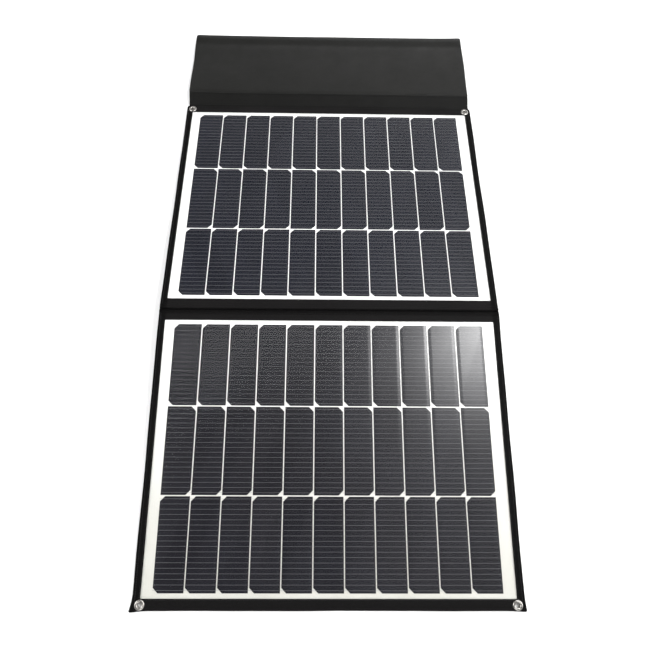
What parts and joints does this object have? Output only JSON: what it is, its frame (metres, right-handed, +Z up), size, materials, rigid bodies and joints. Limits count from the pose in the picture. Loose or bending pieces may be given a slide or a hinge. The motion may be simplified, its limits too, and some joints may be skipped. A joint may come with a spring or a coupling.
{
  "type": "folding solar panel",
  "caption": "Two-panel folding camping solar charger with a fabric case, wrap-over flap, corner eyelets and rear support legs.",
  "frame": {"origin": "middle of the footprint, on the ground", "axes": "+Z up, +X to the right along the fold line, +Y from the lower panel towards the closing flap"},
  "size_m": [0.663, 1.282, 0.0455],
  "materials": {
    "box_plastic": "fine texture",
    "cable_rubber": "smooth",
    "case_fabric": "coated woven, matt",
    "clear_film": "clear",
    "connector_plastic": "moulded",
    "diode_epoxy": "moulded",
    "foot_rubber": "matt",
    "grip_fabric": "padded woven",
    "hook_loop": "hook and loop",
    "leg_paint": "black powder coat",
    "nickel_brass": "nickel plated",
    "nickel_ring": "nickel plated",
    "plated_steel": "zinc plated",
    "silicon": "dark blue-grey, glossy under film",
    "stiffener": "matt",
    "tinned_copper": "tinned",
    "webbing": "ribbed woven",
    "white_backsheet": "white, satin"
  },
  "bodies": {
    "upper_panel": {"upper_front_bezel": "case_fabric", "upper_front_film": "clear_film", "upper_cells": "silicon", "upper_cell_wires": "tinned_copper", "upper_backsheet": "white_backsheet", "upper_bus_ribbons": "tinned_copper", "upper_stiffener_board": "stiffener", "upper_hem_strip": "case_fabric", "upper_back_cover": "case_fabric", "upper_hinge_web": "case_fabric", "upper_eyelets": "nickel_brass", "upper_eyelet_washers": "nickel_brass", "upper_junction_box": "box_plastic", "upper_junction_lid": "box_plastic", "upper_bypass_diode": "diode_epoxy", "upper_jumper_leads": "cable_rubber", "upper_leg_clips": "plated_steel", "upper_leg_rivets": "plated_steel"},
    "lower_panel": {"lower_front_bezel": "case_fabric", "lower_front_film": "clear_film", "lower_cells": "silicon", "lower_cell_wires": "tinned_copper", "lower_backsheet": "white_backsheet", "lower_bus_ribbons": "tinned_copper", "lower_stiffener_board": "stiffener", "lower_hem_strip": "case_fabric", "lower_back_cover": "case_fabric", "lower_hinge_web": "case_fabric", "lower_eyelets": "nickel_brass", "lower_eyelet_washers": "nickel_brass", "lower_junction_box": "box_plastic", "lower_junction_lid": "box_plastic", "lower_bypass_diode": "diode_epoxy", "lower_jumper_leads": "cable_rubber", "lower_leg_clips": "plated_steel", "lower_leg_rivets": "plated_steel", "keeper_plates": "plated_steel", "cable_pocket": "case_fabric", "pocket_loop_patch": "hook_loop", "output_cables": "cable_rubber", "plug_connector": "connector_plastic", "socket_connector": "connector_plastic"},
    "upper_leg": {"upper_leg_frame": "leg_paint", "upper_leg_foot": "foot_rubber"},
    "lower_leg": {"lower_leg_frame": "leg_paint", "lower_leg_foot": "foot_rubber"},
    "lid": {"pocket_lid": "case_fabric", "lid_hook_patch": "hook_loop"},
    "spine": {"spine_front_skin": "case_fabric", "spine_board": "stiffener", "spine_back_skin": "case_fabric", "handle_anchors": "webbing"},
    "handle": {"handle_rings": "nickel_ring", "handle_strap": "webbing", "handle_grip": "grip_fabric"},
    "flap": {"flap_front_skin": "case_fabric", "flap_board": "stiffener", "flap_magnets": "plated_steel", "flap_back_skin": "case_fabric"}
  },
  "joints": [
    {"name": "panel_fold", "type": "hinge", "parent": "upper_panel", "child": "lower_panel", "pos_m": [0, -0.11027, 0.04702], "axis": [-1, 0, 0], "range_deg": [-25, 188.4]},
    {"name": "spine_fold", "type": "hinge", "parent": "upper_panel", "child": "spine", "pos_m": [0, 0.42248, 0.0069], "axis": [1, 0, 0], "range_deg": [-35, 65]},
    {"name": "flap_fold", "type": "hinge", "parent": "spine", "child": "flap", "pos_m": [0, 0.45333, 0.01861], "axis": [1, 0, 0], "range_deg": [0, 121.5]},
    {"name": "handle_swing", "type": "hinge", "parent": "spine", "child": "handle", "pos_m": [0, 0.44044, 0.00607], "axis": [1, 0, 0], "range_deg": [-120, 0]},
    {"name": "upper_leg_swing", "type": "hinge", "parent": "upper_panel", "child": "upper_leg", "pos_m": [0.06, 0.08329, 0.0203], "axis": [0, -0.9973, 0.0736], "range_deg": [0, 85]},
    {"name": "lower_leg_swing", "type": "hinge", "parent": "lower_panel", "child": "lower_leg", "pos_m": [0.06, -0.30383, 0.0203], "axis": [0, -0.9973, -0.0736], "range_deg": [0, 85]},
    {"name": "pocket_lid_fold", "type": "hinge", "parent": "lower_panel", "child": "lid", "pos_m": [0.205, -0.27309, 0.02773], "axis": [-1, 0, 0], "range_deg": [0, 88]}
  ]
}
